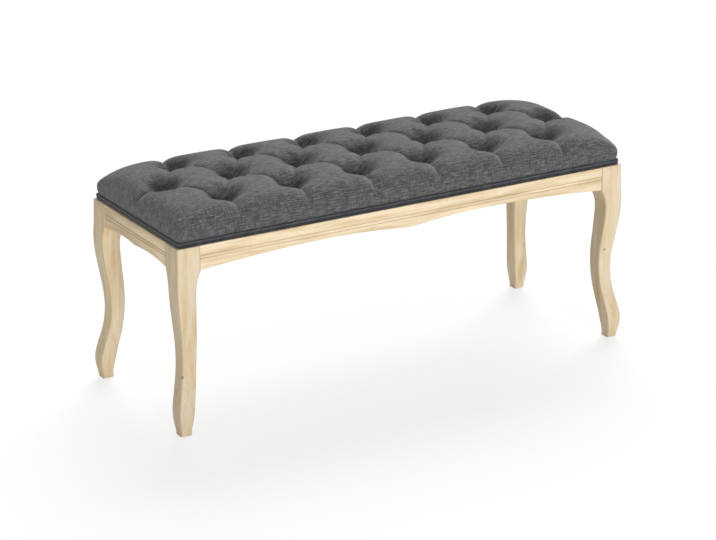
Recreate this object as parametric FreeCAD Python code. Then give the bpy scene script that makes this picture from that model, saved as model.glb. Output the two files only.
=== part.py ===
# Upholstered bench: a diamond-tufted seat on a wooden frame with four cabriole legs.
# Millimetres. +X runs along the bench to its right, -Y is its front, +Z is up.
# The origin is on the floor, under the middle of the bench.
import FreeCAD, Part
import math
import os

from FreeCAD import Vector

os.makedirs("parts", exist_ok=True)

# Frame, over the outer faces of the posts
bench_length = 1100.0
bench_depth = 388.0
frame_height = 407.0

# Legs
post_size = 52.0
post_height = 53.0
leg_arris = 3.0
# Each row: share of the height under the post, how far the outer face stands inside the
# post's outer face, and the width as a share of the post's width
leg_sections = (
    (0.00, -2.0, 0.49),
    (0.06, -5.2, 0.56),
    (0.13, -7.0, 0.67),
    (0.21, -2.8, 0.68),
    (0.30, 4.6, 0.65),
    (0.40, 10.2, 0.63),
    (0.50, 11.4, 0.65),
    (0.60, 8.6, 0.70),
    (0.70, 4.0, 0.75),
    (0.80, -0.4, 0.80),
    (0.89, -2.4, 0.83),
    (0.95, -2.2, 0.90),
)
post_foot_flare = 1.2
post_back_chamfer = 15.0

# Aprons
apron_thickness = 20.0
apron_setback = 1.0
apron_end_depth = 52.0
long_apron_crest_depth = 37.5
long_apron_centre_depth = 49.0
long_apron_crest_place = 0.39
short_apron_crest_depth = 44.0
short_apron_centre_depth = 48.0
short_apron_crest_place = 0.41
apron_point_radius = 90.0
line_depths = (20.5, 27.5)
line_radius = 1.3
line_stand_off = 0.325

# Dowels
dowel_radius = 4.0
dowel_length = 30.0
dowel_depths = (13.0, 39.0)
dowel_clearance = 0.1
dowel_end_gap = 1.0

# Corner blocks, bolts and screws
block_gap = 4.0
block_thickness = 28.0
block_height = 40.0
bolt_radius = 3.0
bolt_in_post = 22.0
bolt_end = 5.5
bolt_depths = (11.0, 29.0)
bolt_clearance = 0.3
washer_radius = 7.0
washer_thickness = 1.5
nut_sides = 6
nut_across_flats = 10.0
nut_height = 5.0
screw_radius = 2.0
screw_head_radius = 4.0
screw_head_height = 2.5
screw_clearance = 0.1
screw_slot_width = 1.0
screw_slot_depth = 1.25
head_clearance = 0.5
head_to_washer = 1.0
well_depth = 60.0
block_screw_grip = 12.0
block_screw_cover = 4.0
block_screw_depths = (9.0, 31.0)
block_screw_edge = 20.0
seat_screw_bite = 9.0
rail_width = 40.0
rail_height = 28.0
rail_well_depth = 4.0
rail_dowel_spacing = 20.0
rail_screw_reach = 97.0

# Foot glides
glide_radius = 9.0
glide_thickness = 2.0
glide_edge_share = 1 / 3
glide_pin_radius = 1.2
glide_pin_length = 12.0

# Seat layers, from the frame upwards
dust_cover_thickness = 0.5
dust_cover_lap = 7.0
dust_cover_corner = 12.0
layer_gap = 0.3
wadding_gap = 0.75
seam_gap = 0.1
cover_gap = 0.4
cloth = 1.5
flange_thickness = 2.4
flange_width = 22.0
board_thickness = 12.0
board_corner = 9.0
cushion_side_height = 40.0
band_step = 0.8
band_height = 6.2
band_corner = 9.0
band_edge_round = 1.0
welt_radius = 3.0
welt_inset = 2.2
welt_corner = 6.5
foam_thickness = 33.0
foam_inset = 20.0
foam_corner = 48.0

# Cushion form. Each row: height over the frame, how far it stands inside the cushion's
# widest outline, and the radius of its corners
cushion_sections = (
    (12.4, 2.0, 9.0),
    (24.0, 0.0, 9.0),
    (36.0, 0.8, 13.0),
    (44.0, 3.0, 26.0),
    (52.0, 6.3, 48.0),
    (60.0, 11.0, 66.0),
    (67.0, 18.0, 78.0),
    (73.0, 31.0, 88.0),
    (77.5, 56.0, 90.0),
    (80.0, 95.0, 70.0),
)

# Tufts
middle_row_count = 7
tuft_end_margin = 66.0
tuft_row_margin = 80.0
tuft_floor = 45.0
tuft_floor_radius = 13.0
tuft_mouth_radius = 50.0
tuft_mouth_height = 82.0
tuft_turn = 50.0
valley_radius = 52.0
valley_middle = 66.0
valley_outer = 60.0
edge_valley_radius = 34.0
edge_valley_height = 61.0
tuft_hole_radius = 20.0
button_radius = 11.0
button_height = 7.0
twine_radius = 0.75
twine_clearance = 0.3
twine_tail = 14.0
board_hole_radius = 3.0

# Staples
staple_wire = 0.6
staple_crown = 10.0
staple_leg = 8.0
staple_pitch = 85.0
staple_corner_gap = 45.0
band_staple_place = 7.5
dust_staple_gap = 5.0
twine_staple_place = 8.0

# Cutting shapes run this far past what they cut, and the cushion's grooves further
overshoot = 1.0
groove_overshoot = 20.0
# Points nearer than this are the same point
same_place = 0.01
# The least straight stretch left between two round corners, as a half length
least_straight = 2.0

# Levels and half sizes that follow from the sizes above
half_length = bench_length / 2
half_depth = bench_depth / 2
post_foot = frame_height - post_height
flange_base = frame_height + dust_cover_thickness + seam_gap
board_base = flange_base + flange_thickness
board_top = board_base + board_thickness
foam_base = board_top + layer_gap
foam_top = foam_base + foam_thickness
board_inset = welt_inset + 2 * welt_radius + layer_gap
band_inset = welt_inset + band_step
cushion_inset = board_inset - cover_gap - cloth - cushion_sections[0][1]
band_top = frame_height + band_height
welt_height = band_top + seam_gap + welt_radius
cover_base = welt_height + welt_radius + seam_gap
long_apron_end = half_length - post_size
short_apron_end = half_depth - post_size
apron_inner = apron_setback + apron_thickness
rail_reach = half_depth - apron_inner
dust_cover_inset = apron_inner - dust_cover_lap
dust_staple_inset = apron_inner + dust_staple_gap
band_staple_inset = board_inset + band_staple_place
bolt_length = bolt_in_post + block_gap + block_thickness + washer_thickness + nut_height + bolt_end
block_screw_length = block_screw_grip + apron_thickness - block_screw_cover
seat_screw_length = rail_height - rail_well_depth + board_base - frame_height + seat_screw_bite


def line(start, end):
    return Part.LineSegment(start, end).toShape()


def arc(start, middle, end):
    return Part.Arc(start, middle, end).toShape()


def rod(base, direction, radius, length):
    return Part.makeCylinder(radius, length, base, direction)


def rounded_rectangle(low_x, high_x, low_y, high_y, height, radius):
    """A closed wire of four straight edges and four quarter arcs."""
    radius = min(radius, min(high_x - low_x, high_y - low_y) / 2 - least_straight)
    corner_cut = radius * (1 - math.sqrt(0.5))
    corners = (
        (high_x, low_y, -1, 1),
        (high_x, high_y, -1, -1),
        (low_x, high_y, 1, -1),
        (low_x, low_y, 1, 1),
    )
    starts = []
    middles = []
    ends = []
    for index, (x, y, inward_x, inward_y) in enumerate(corners):
        along_x = Vector(x + inward_x * radius, y, height)
        along_y = Vector(x, y + inward_y * radius, height)
        middle = Vector(x + inward_x * corner_cut, y + inward_y * corner_cut, height)
        starts.append(along_x if index % 2 == 0 else along_y)
        middles.append(middle)
        ends.append(along_y if index % 2 == 0 else along_x)
    edges = []
    for index in range(4):
        edges.append(arc(starts[index], middles[index], ends[index]))
        edges.append(line(ends[index], starts[(index + 1) % 4]))
    return Part.Wire(edges)


def centred_rectangle(inset, height, radius):
    """A rounded rectangle that stands a distance inside the frame's outer faces."""
    x = half_length - inset
    y = half_depth - inset
    return rounded_rectangle(-x, x, -y, y, height, radius)


def slab(inset, base, thickness, radius):
    face = Part.Face(centred_rectangle(inset, base, radius))
    return face.extrude(Vector(0, 0, thickness))


def to_corner(shape, side_x, side_y):
    """Moves what is made for the front left corner to another corner."""
    placed = shape.copy()
    if side_x > 0:
        placed = placed.mirror(Vector(0, 0, 0), Vector(1, 0, 0))
    if side_y > 0:
        placed = placed.mirror(Vector(0, 0, 0), Vector(0, 1, 0))
    return placed


def in_all_corners(shapes):
    placed = []
    for side_x in (-1, 1):
        for side_y in (-1, 1):
            placed.extend(to_corner(shape, side_x, side_y) for shape in shapes)
    return placed


def save(name, shapes):
    """Writes one node; a list of separate solids goes in as one group."""
    if isinstance(shapes, (list, tuple)):
        shapes = Part.makeCompound(shapes)
    shapes.exportStep("parts/" + name + ".step")
    print(name, len(shapes.Solids), "solids", round(shapes.Volume), "mm3", shapes.isValid())


# Legs and foot glides

def leg_outline(share, offset, width_share):
    """One square section of the front left leg."""
    height = glide_thickness + share * (post_foot - glide_thickness)
    width = width_share * post_size
    low_x = offset - half_length
    low_y = offset - half_depth
    return rounded_rectangle(low_x, low_x + width, low_y, low_y + width, height, leg_arris)


def post_chamfer_place():
    """Distance of the chamfer's face from the post's outer edge, along the diagonal."""
    return (2 * post_size - post_back_chamfer) / math.sqrt(2)


def diagonal_point(distance, height):
    """A point of the front left corner's diagonal, measured from the post's outer edge."""
    share = distance / math.sqrt(2)
    return Vector(share - half_length, share - half_depth, height)


def post_outline(flare, height):
    """A section of the front left post, whose inner faces are upright."""
    return rounded_rectangle(
        -half_length - flare, post_size - half_length,
        -half_depth - flare, post_size - half_depth,
        height, leg_arris)


def front_left_leg():
    foot = post_outline(post_foot_flare, post_foot)
    curved = Part.makeLoft([leg_outline(*section) for section in leg_sections] + [foot], True, False)
    post = Part.makeLoft([foot, post_outline(0, frame_height)], True, True)
    chamfer_width = 2 * post_back_chamfer
    chamfer = Part.makeBox(chamfer_width, post_back_chamfer, block_height)
    chamfer.translate(Vector(-chamfer_width / 2, 0, 0))
    chamfer.rotate(Vector(0, 0, 0), Vector(0, 0, 1), -45)
    chamfer.translate(diagonal_point(post_chamfer_place(), frame_height - block_height))
    leg = curved.fuse(post).cut(chamfer)
    cuts = [bolt_hole(depth) for depth in bolt_depths]
    cuts.extend(corner_dowels(dowel_clearance, dowel_end_gap))
    cuts.append(glide_pin(glide_pin_radius + dowel_clearance))
    return leg.cut(cuts)


def foot_centre():
    share, offset, width_share = leg_sections[0]
    inward = offset + width_share * post_size / 2
    return Vector(inward - half_length, inward - half_depth, 0)


def glide_pin(radius):
    return rod(foot_centre(), Vector(0, 0, 1), radius, glide_thickness + glide_pin_length)


def foot_glide():
    disc = rod(foot_centre(), Vector(0, 0, 1), glide_radius, glide_thickness)
    lower_edge = [edge for edge in disc.Edges if edge.BoundBox.ZMax < glide_thickness / 2]
    disc = disc.makeFillet(glide_thickness * glide_edge_share, lower_edge)
    return disc.fuse(glide_pin(glide_pin_radius)).removeSplitter()


# Dowels

def dowel_starts():
    """Each front left dowel's middle, on the joint face, with its direction."""
    along_long = half_depth - apron_inner + apron_thickness / 2
    along_short = half_length - apron_inner + apron_thickness / 2
    places = []
    for depth in dowel_depths:
        height = frame_height - depth
        places.append((Vector(-long_apron_end, -along_long, height), Vector(1, 0, 0)))
        places.append((Vector(-along_short, -short_apron_end, height), Vector(0, 1, 0)))
    return places


def corner_dowels(extra_radius, extra_length):
    dowels = []
    for place, direction in dowel_starts():
        half = dowel_length / 2 + extra_length
        base = place - direction * half
        dowels.append(rod(base, direction, dowel_radius + extra_radius, 2 * half))
    return dowels


# Aprons

def arc_middle(start, crest):
    """The middle of an arc from a point to a crest, level where it meets the crest."""
    run = crest.x - start.x
    rise = crest.z - start.z
    radius = (run * run + rise * rise) / (2 * rise)
    middle_run = run / 2
    middle_drop = radius - math.sqrt(radius * radius - middle_run * middle_run)
    return Vector(crest.x - middle_run, 0, crest.z - middle_drop)


def apron_blank(half_span, end_depth, crest_depth, centre_depth, crest_place):
    """A board along X, with its outer face on Y = 0 and its body behind it."""
    top = frame_height
    left_end = Vector(-half_span, 0, top - end_depth)
    right_end = Vector(half_span, 0, top - end_depth)
    left_crest = Vector(-half_span * crest_place, 0, top - crest_depth)
    right_crest = Vector(half_span * crest_place, 0, top - crest_depth)
    centre = Vector(0, 0, top - centre_depth)
    left_top = Vector(-half_span, 0, top)
    right_top = Vector(half_span, 0, top)
    edges = [
        arc(left_end, arc_middle(left_end, left_crest), left_crest),
        arc(left_crest, arc_middle(centre, left_crest), centre),
        arc(centre, arc_middle(centre, right_crest), right_crest),
        arc(right_crest, arc_middle(right_end, right_crest), right_end),
        line(right_end, right_top),
        line(right_top, left_top),
        line(left_top, left_end),
    ]
    board = Part.Face(Part.Wire(edges)).extrude(Vector(0, apron_thickness, 0))
    point = [
        edge for edge in board.Edges
        if abs(edge.CenterOfMass.x) < same_place and abs(edge.CenterOfMass.z - centre.z) < same_place
    ]
    board = board.makeFillet(apron_point_radius, point)
    for depth in line_depths:
        start = Vector(-half_span, -line_stand_off, top - depth)
        board = board.cut(rod(start, Vector(1, 0, 0), line_radius, 2 * half_span))
    return board


def apron_holes():
    """Every dowel and screw hole that the aprons hold."""
    holes = in_all_corners(corner_dowels(dowel_clearance, dowel_end_gap))
    holes.extend(in_all_corners([screw_bore(*place) for place in block_screw_places()]))
    holes.extend(rail_dowels(dowel_clearance, dowel_end_gap))
    return holes


def front_apron():
    board = apron_blank(
        long_apron_end, apron_end_depth, long_apron_crest_depth,
        long_apron_centre_depth, long_apron_crest_place)
    board.translate(Vector(0, apron_setback - half_depth, 0))
    return board.cut(apron_holes())


def left_apron():
    board = apron_blank(
        short_apron_end, apron_end_depth, short_apron_crest_depth,
        short_apron_centre_depth, short_apron_crest_place)
    board.rotate(Vector(0, 0, 0), Vector(0, 0, 1), -90)
    board.translate(Vector(apron_setback - half_length, 0, 0))
    return board.cut(apron_holes())


# Corner blocks, bolts, nuts and screws

def block_faces():
    """Distances of the block's outer and inner faces along the diagonal."""
    outer = post_chamfer_place() + block_gap
    return outer, outer + block_thickness


def block_corner_reach(face):
    """How far along an apron's inner face a diagonal face meets it, from the outer edge."""
    return face * math.sqrt(2) - apron_inner


def front_left_block():
    inner_x = apron_inner - half_length
    inner_y = apron_inner - half_depth
    outer_face, inner_face = block_faces()
    near = block_corner_reach(outer_face)
    far = block_corner_reach(inner_face)
    base = frame_height - block_height
    points = [
        Vector(near - half_length, inner_y, base),
        Vector(far - half_length, inner_y, base),
        Vector(inner_x, far - half_depth, base),
        Vector(inner_x, near - half_depth, base),
    ]
    outline = Part.makePolygon(points + points[:1])
    block = Part.Face(outline).extrude(Vector(0, 0, block_height))
    cuts = [bolt_hole(depth) for depth in bolt_depths]
    for place in block_screw_places() + [seat_screw_place(corner_seat_screw())]:
        cuts.append(screw_bore(*place))
        cuts.append(screw_well(*place))
    return block.cut(cuts)


def bolt_start():
    return post_chamfer_place() - bolt_in_post


def bolt(depth):
    """A hanger bolt, screwed into the post and threaded for a nut."""
    start = diagonal_point(bolt_start(), frame_height - depth)
    return rod(start, Vector(1, 1, 0), bolt_radius, bolt_length)


def bolt_hole(depth):
    start = diagonal_point(bolt_start() - overshoot, frame_height - depth)
    length = bolt_length + 2 * overshoot
    return rod(start, Vector(1, 1, 0), bolt_radius + bolt_clearance, length)


def washer(depth):
    start = diagonal_point(block_faces()[1], frame_height - depth)
    disc = rod(start, Vector(1, 1, 0), washer_radius, washer_thickness)
    return disc.cut(bolt_hole(depth))


def hex_nut(depth):
    corner_radius = nut_across_flats / math.sqrt(3)
    corners = []
    for index in range(nut_sides + 1):
        angle = 2 * math.pi * index / nut_sides
        corners.append(Vector(corner_radius * math.cos(angle), corner_radius * math.sin(angle), 0))
    nut = Part.Face(Part.makePolygon(corners)).extrude(Vector(0, 0, nut_height))
    nut.rotate(Vector(0, 0, 0), Vector(0, 1, 0), 90)
    nut.rotate(Vector(0, 0, 0), Vector(0, 0, 1), 45)
    nut.translate(diagonal_point(block_faces()[1] + washer_thickness, frame_height - depth))
    return nut.cut(bolt_hole(depth))


def screw(seat, direction, length):
    """A screw whose head rests at its seat, with a cross recess."""
    shank = rod(seat, direction, screw_radius, length)
    head_top = seat - direction * screw_head_height
    head = rod(head_top, direction, screw_head_radius, screw_head_height)
    slot = Part.makeBox(screw_head_radius, screw_slot_width, screw_slot_depth)
    slot.translate(Vector(-screw_head_radius / 2, -screw_slot_width / 2, 0))
    cross = slot.copy()
    cross.rotate(Vector(0, 0, 0), Vector(0, 0, 1), 90)
    recess = slot.fuse(cross)
    recess.Placement = FreeCAD.Placement(head_top, FreeCAD.Rotation(Vector(0, 0, 1), direction))
    return shank.fuse(head).cut(recess)


def screw_bore(seat, direction, length):
    return rod(seat, direction, screw_radius + screw_clearance, length)


def screw_well(seat, direction, length):
    """The wide hole behind a screw's head."""
    return rod(seat - direction * well_depth, direction, screw_head_radius + head_clearance, well_depth)


def block_screw_places():
    """Seat, direction and length of the front left block's four screws."""
    along = block_corner_reach(block_faces()[1]) - block_screw_edge
    across = apron_inner + block_screw_grip
    places = []
    for depth in block_screw_depths:
        height = frame_height - depth
        into_long = Vector(along - half_length, across - half_depth, height)
        into_short = Vector(across - half_length, along - half_depth, height)
        places.append((into_long, Vector(0, -1, 0), block_screw_length))
        places.append((into_short, Vector(-1, 0, 0), block_screw_length))
    return places


def seat_screw_place(place):
    """Seat, direction and length of a screw up into the board."""
    tip = board_base + seat_screw_bite
    return Vector(place.x, place.y, tip - seat_screw_length), Vector(0, 0, 1), seat_screw_length


def corner_seat_screw():
    """Beside the bolts, in the middle of the front left block's thickness."""
    outer_face, inner_face = block_faces()
    middle = diagonal_point((outer_face + inner_face) / 2, 0)
    aside = (washer_radius + screw_head_radius + head_to_washer) / math.sqrt(2)
    return middle + Vector(aside, -aside, 0)


def rail_seat_screws():
    return [Vector(0, -rail_screw_reach, 0), Vector(0, rail_screw_reach, 0)]


def seat_screws(make):
    """Screws, or the holes for them, in the four blocks and the rail."""
    shapes = in_all_corners([make(*seat_screw_place(corner_seat_screw()))])
    shapes.extend(make(*seat_screw_place(place)) for place in rail_seat_screws())
    return shapes


# Centre rail

def rail_dowels(extra_radius, extra_length):
    half = dowel_length / 2 + extra_length
    height = frame_height - rail_height / 2
    dowels = []
    for side_y in (-1, 1):
        for side_x in (-1, 1):
            base = Vector(side_x * rail_dowel_spacing / 2, side_y * rail_reach - half, height)
            dowels.append(rod(base, Vector(0, 1, 0), dowel_radius + extra_radius, 2 * half))
    return dowels


def centre_rail():
    rail = Part.makeBox(rail_width, 2 * rail_reach, rail_height)
    rail.translate(Vector(-rail_width / 2, -rail_reach, frame_height - rail_height))
    cuts = rail_dowels(dowel_clearance, dowel_end_gap)
    for place in rail_seat_screws():
        cuts.append(screw_bore(*seat_screw_place(place)))
        cuts.append(screw_well(*seat_screw_place(place)))
    return rail.cut(cuts)


# Tufts

def tuft_row(count, height):
    """One row, evenly spaced about the middle of the bench."""
    middle_reach = half_length - cushion_inset - tuft_end_margin
    pitch = 2 * middle_reach / (middle_row_count - 1)
    start = -pitch * (count - 1) / 2
    return [Vector(start + pitch * index, height, 0) for index in range(count)]


def middle_tufts():
    return tuft_row(middle_row_count, 0)


def outer_tufts():
    """The two outer rows, which lie half a pitch out of step with the middle one."""
    row_reach = half_depth - cushion_inset - tuft_row_margin
    return tuft_row(middle_row_count - 1, -row_reach) + tuft_row(middle_row_count - 1, row_reach)


def all_tufts():
    return middle_tufts() + outer_tufts()


def tuft_pit(place, skin):
    """The funnel over one tuft. Skin widens it, for a layer that lies under the cloth."""
    floor = frame_height + tuft_floor - skin
    mouth = frame_height + tuft_mouth_height
    inner = tuft_floor_radius + skin
    outer = tuft_mouth_radius + skin
    start = Vector(inner, 0, floor)
    end = Vector(outer, 0, mouth - skin)
    chord = end - start
    bulge = chord.Length / 2 * math.tan(math.radians(tuft_turn) / 4)
    normal = Vector(-chord.z, 0, chord.x).normalize()
    middle = (start + end) * 0.5 + normal * bulge
    top = mouth + groove_overshoot
    edges = [
        line(Vector(0, 0, floor), start),
        arc(start, middle, end),
        line(end, Vector(outer, 0, top)),
        line(Vector(outer, 0, top), Vector(0, 0, top)),
        line(Vector(0, 0, top), Vector(0, 0, floor)),
    ]
    pit = Part.Face(Part.Wire(edges)).revolve(Vector(0, 0, 0), Vector(0, 0, 1), 360)
    pit.translate(Vector(place.x, place.y, 0))
    return pit


def valley(start, end, start_height, end_height, radius, skin):
    """A round-bottomed groove whose lowest line runs between two points."""
    low = Vector(start.x, start.y, frame_height + start_height + radius)
    high = Vector(end.x, end.y, frame_height + end_height + radius)
    run = high - low
    return rod(low, run, radius + skin, run.Length)


def cushion_valleys(skin):
    """Grooves between neighbouring tufts, and from the outermost tufts to the edges."""
    middle = middle_tufts()
    pitch = middle[1].x - middle[0].x
    runs = []
    for place in outer_tufts():
        for neighbour in middle:
            if abs(neighbour.x - place.x) < pitch:
                runs.append((neighbour, place, valley_middle, valley_outer, valley_radius))
        edge = Vector(place.x, math.copysign(half_depth + groove_overshoot, place.y), 0)
        runs.append((place, edge, edge_valley_height, edge_valley_height, edge_valley_radius))
    for place in (middle[0], middle[-1]):
        edge = Vector(math.copysign(half_length + groove_overshoot, place.x), 0, 0)
        runs.append((place, edge, edge_valley_height, edge_valley_height, edge_valley_radius))
    return [valley(*run, skin) for run in runs]


def cushion_form(skin):
    """The tufted cushion, smaller by a skin's thickness all over."""
    outlines = []
    crown = cushion_sections[-1][0] - cushion_side_height
    for index, (height, inset, corner) in enumerate(cushion_sections):
        share = 1 if index == 0 else max(0, height - cushion_side_height) / crown
        level = frame_height + height - skin * share
        outlines.append(centred_rectangle(cushion_inset + inset + skin, level, corner - skin / 2))
    body = Part.makeLoft(outlines, True, False)
    cutters = [tuft_pit(place, skin) for place in all_tufts()]
    cutters.extend(cushion_valleys(skin))
    return body.cut(cutters)


def tuft_rods(radius, base, top):
    """A rod, or the hole for one, in the line of each tuft."""
    up = Vector(0, 0, 1)
    return [rod(place + up * base, up, radius, top - base) for place in all_tufts()]


def seat_cover():
    outside = cushion_form(0.0)
    inside = cushion_form(cloth)
    floor = frame_height + tuft_floor
    holes = tuft_rods(twine_radius + twine_clearance, floor - cloth - overshoot, floor + overshoot)
    return outside.cut([inside] + holes)


def foam_pad():
    pad = slab(foam_inset, foam_base, foam_thickness, foam_corner)
    return pad.cut(tuft_rods(tuft_hole_radius, foam_base - overshoot, foam_top + overshoot))


def fibre_wadding():
    """Fibre over and around the foam, and down its tuft holes."""
    outside = cushion_form(cloth + wadding_gap)
    below = slab(0, cover_base - groove_overshoot, foam_base - cover_base + groove_overshoot, board_corner)
    room_base = foam_base - overshoot
    room_height = foam_top + layer_gap - room_base
    foam_room = slab(foam_inset - layer_gap, room_base, room_height, foam_corner)
    plugs = tuft_rods(tuft_hole_radius - layer_gap, room_base - overshoot, foam_top + 2 * overshoot)
    holes = tuft_rods(twine_radius + twine_clearance, room_base - overshoot, frame_height + tuft_floor)
    return outside.cut([below, foam_room.cut(plugs)] + holes)


# Buttons and twine

def tuft_buttons():
    """Covered buttons: flat below, domed above."""
    rim = Vector(button_radius, 0, 0)
    crown = Vector(0, 0, button_height)
    sphere_radius = (button_radius ** 2 + button_height ** 2) / (2 * button_height)
    half_run = button_radius / 2
    drop = sphere_radius - math.sqrt(sphere_radius ** 2 - half_run ** 2)
    middle = Vector(half_run, 0, button_height - drop)
    edges = [line(Vector(0, 0, 0), rim), arc(rim, middle, crown), line(crown, Vector(0, 0, 0))]
    button = Part.Face(Part.Wire(edges)).revolve(Vector(0, 0, 0), Vector(0, 0, 1), 360)
    buttons = []
    for place in all_tufts():
        copy = button.copy()
        copy.translate(place + Vector(0, 0, button_base()))
        buttons.append(copy)
    return buttons


def button_base():
    return frame_height + tuft_floor + layer_gap


def tail_height():
    """The middle of the twines' tails, which lie under the board."""
    return board_base - seam_gap - twine_radius


def tuft_twines():
    low = tail_height()
    twines = []
    for place in all_tufts():
        elbow = place + Vector(0, 0, low)
        stem = rod(elbow, Vector(0, 0, 1), twine_radius, button_base() - low)
        tail = rod(elbow, Vector(1, 0, 0), twine_radius, twine_tail)
        knee = Part.makeSphere(twine_radius, elbow)
        twines.append(stem.fuse([tail, knee]))
    return twines


# Board, band and welt

def seat_board():
    board = slab(board_inset, board_base, board_thickness, board_corner)
    cuts = tuft_rods(board_hole_radius, board_base - overshoot, board_top + overshoot)
    cuts.extend(seat_screws(screw_bore))
    cuts.extend(twine_staples() + band_staples() + dust_cover_staples())
    return board.cut(cuts)


def lower_band():
    """A band round the board's edge, with a flange turned under the board."""
    band = slab(band_inset, flange_base, band_top - flange_base, band_corner)
    lower_edges = [edge for edge in band.Edges if edge.BoundBox.ZMax < flange_base + seam_gap]
    band = band.makeFillet(band_edge_round, lower_edges)
    board_room = slab(board_inset - seam_gap, board_base, board_thickness, board_corner)
    inner_height = flange_thickness + 2 * overshoot
    flange_inner = slab(board_inset + flange_width, flange_base - overshoot, inner_height, band_corner)
    return band.cut([board_room, flange_inner] + band_staples() + dust_cover_staples())


def welt_cord():
    inset = welt_inset + welt_radius
    path = centred_rectangle(inset, welt_height, welt_corner)
    start = Vector(0, inset - half_depth, welt_height)
    ring = Part.Wire(Part.makeCircle(welt_radius, start, Vector(1, 0, 0)))
    opened = Part.Wire(split_at(path, start))
    return opened.makePipeShell([ring], True, True)


def split_at(path, point):
    """The path's edges in order, starting and ending at a point of its front edge."""
    edges = Part.__sortEdges__(path.Edges)
    index = min(range(len(edges)), key=lambda i: edges[i].distToShape(Part.Vertex(point))[0])
    first, last = [vertex.Point for vertex in edges[index].Vertexes]
    ordered = edges[index + 1:] + edges[:index]
    joint = ordered[0].Vertexes
    if min(first.distanceToPoint(vertex.Point) for vertex in joint) < seam_gap:
        first, last = last, first
    return [line(point, last)] + ordered + [line(first, point)]


def dust_cover():
    sheet = slab(dust_cover_inset, frame_height, dust_cover_thickness, dust_cover_corner)
    return sheet.cut(seat_screws(screw_bore) + dust_cover_staples())


# Staples

def staple(place, height, along):
    """Two legs up from a crown that lies along X or Y."""
    half = staple_crown / 2
    half_wire = staple_wire / 2
    across = Vector(-along.y, along.x, 0)
    base = place + Vector(0, 0, height) - along * half - across * half_wire
    size = along * staple_crown + across * staple_wire
    crown = Part.makeBox(abs(size.x), abs(size.y), staple_wire)
    crown.translate(Vector(min(base.x, base.x + size.x), min(base.y, base.y + size.y), base.z))
    legs = []
    for side in (-1, 1):
        middle = place + along * side * (half - half_wire)
        leg = Part.makeBox(staple_wire, staple_wire, staple_leg)
        leg.translate(Vector(middle.x - half_wire, middle.y - half_wire, height))
        legs.append(leg)
    return crown.fuse(legs).removeSplitter()


def evenly(start, end):
    """Places from start to end, about one staple pitch apart."""
    count = max(1, round((end - start) / staple_pitch))
    return [start + (end - start) * index / count for index in range(count + 1)]


def twine_staples():
    """One across each twine's tail."""
    height = tail_height() - twine_radius - staple_wire
    step = Vector(twine_staple_place, 0, 0)
    return [staple(place + step, height, Vector(0, 1, 0)) for place in all_tufts()]


def edge_staples(inset, height, long_places, short_places):
    """Staples on all four sides, at places on the positive and negative halves."""
    staples = []
    for side in (-1, 1):
        for along in long_places:
            place = Vector(along, side * (half_depth - inset), 0)
            staples.append(staple(place, height, Vector(1, 0, 0)))
        for along in short_places:
            place = Vector(side * (half_length - inset), along, 0)
            staples.append(staple(place, height, Vector(0, 1, 0)))
    return staples


def band_staples():
    long_end = half_length - staple_corner_gap
    short_end = half_depth - staple_corner_gap
    long_places = evenly(-long_end, long_end)
    return edge_staples(band_staple_inset, flange_base, long_places, evenly(-short_end, short_end))


def dust_cover_staples():
    """Under the dust cover, between the corner blocks and clear of the rail."""
    block_end = block_corner_reach(block_faces()[1]) + staple_crown
    long_end = half_length - block_end
    short_end = half_depth - block_end
    right_half = evenly(rail_width / 2 + staple_crown, long_end)
    long_places = [-place for place in right_half] + right_half
    height = frame_height - staple_wire
    return edge_staples(dust_staple_inset, height, long_places, evenly(-short_end, short_end))


# The nodes

corner_names = (
    ("front_left", -1, -1),
    ("front_right", 1, -1),
    ("back_left", -1, 1),
    ("back_right", 1, 1),
)
leg = front_left_leg()
block = front_left_block()
for corner_name, side_x, side_y in corner_names:
    save(corner_name + "_leg", to_corner(leg, side_x, side_y))
    save(corner_name + "_corner_block", to_corner(block, side_x, side_y))

front = front_apron()
left = left_apron()
save("front_apron", front)
save("back_apron", front.mirror(Vector(0, 0, 0), Vector(0, 1, 0)))
save("left_apron", left)
save("right_apron", left.mirror(Vector(0, 0, 0), Vector(1, 0, 0)))

save("apron_dowels", in_all_corners(corner_dowels(0, 0)))
save("centre_rail", centre_rail())
save("rail_dowels", rail_dowels(0, 0))
save("leg_bolts", in_all_corners([bolt(depth) for depth in bolt_depths]))
save("leg_washers", in_all_corners([washer(depth) for depth in bolt_depths]))
save("leg_nuts", in_all_corners([hex_nut(depth) for depth in bolt_depths]))
save("block_screws", in_all_corners([screw(*place) for place in block_screw_places()]))
save("seat_screws", seat_screws(screw))
save("foot_glides", in_all_corners([foot_glide()]))

save("seat_board", seat_board())
save("foam_pad", foam_pad())
save("fibre_wadding", fibre_wadding())
save("seat_cover", seat_cover())
save("lower_band", lower_band())
save("welt_cord", welt_cord())
save("tuft_buttons", tuft_buttons())
save("tuft_twines", tuft_twines())
save("twine_staples", twine_staples())
save("band_staples", band_staples())
save("dust_cover", dust_cover())
save("dust_cover_staples", dust_cover_staples())
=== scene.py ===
"""An upholstered bench: a deep-tufted, piped cushion on a bleached wooden frame with curved legs."""
import math

import bpy
import numpy as np
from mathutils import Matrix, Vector, noise


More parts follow.
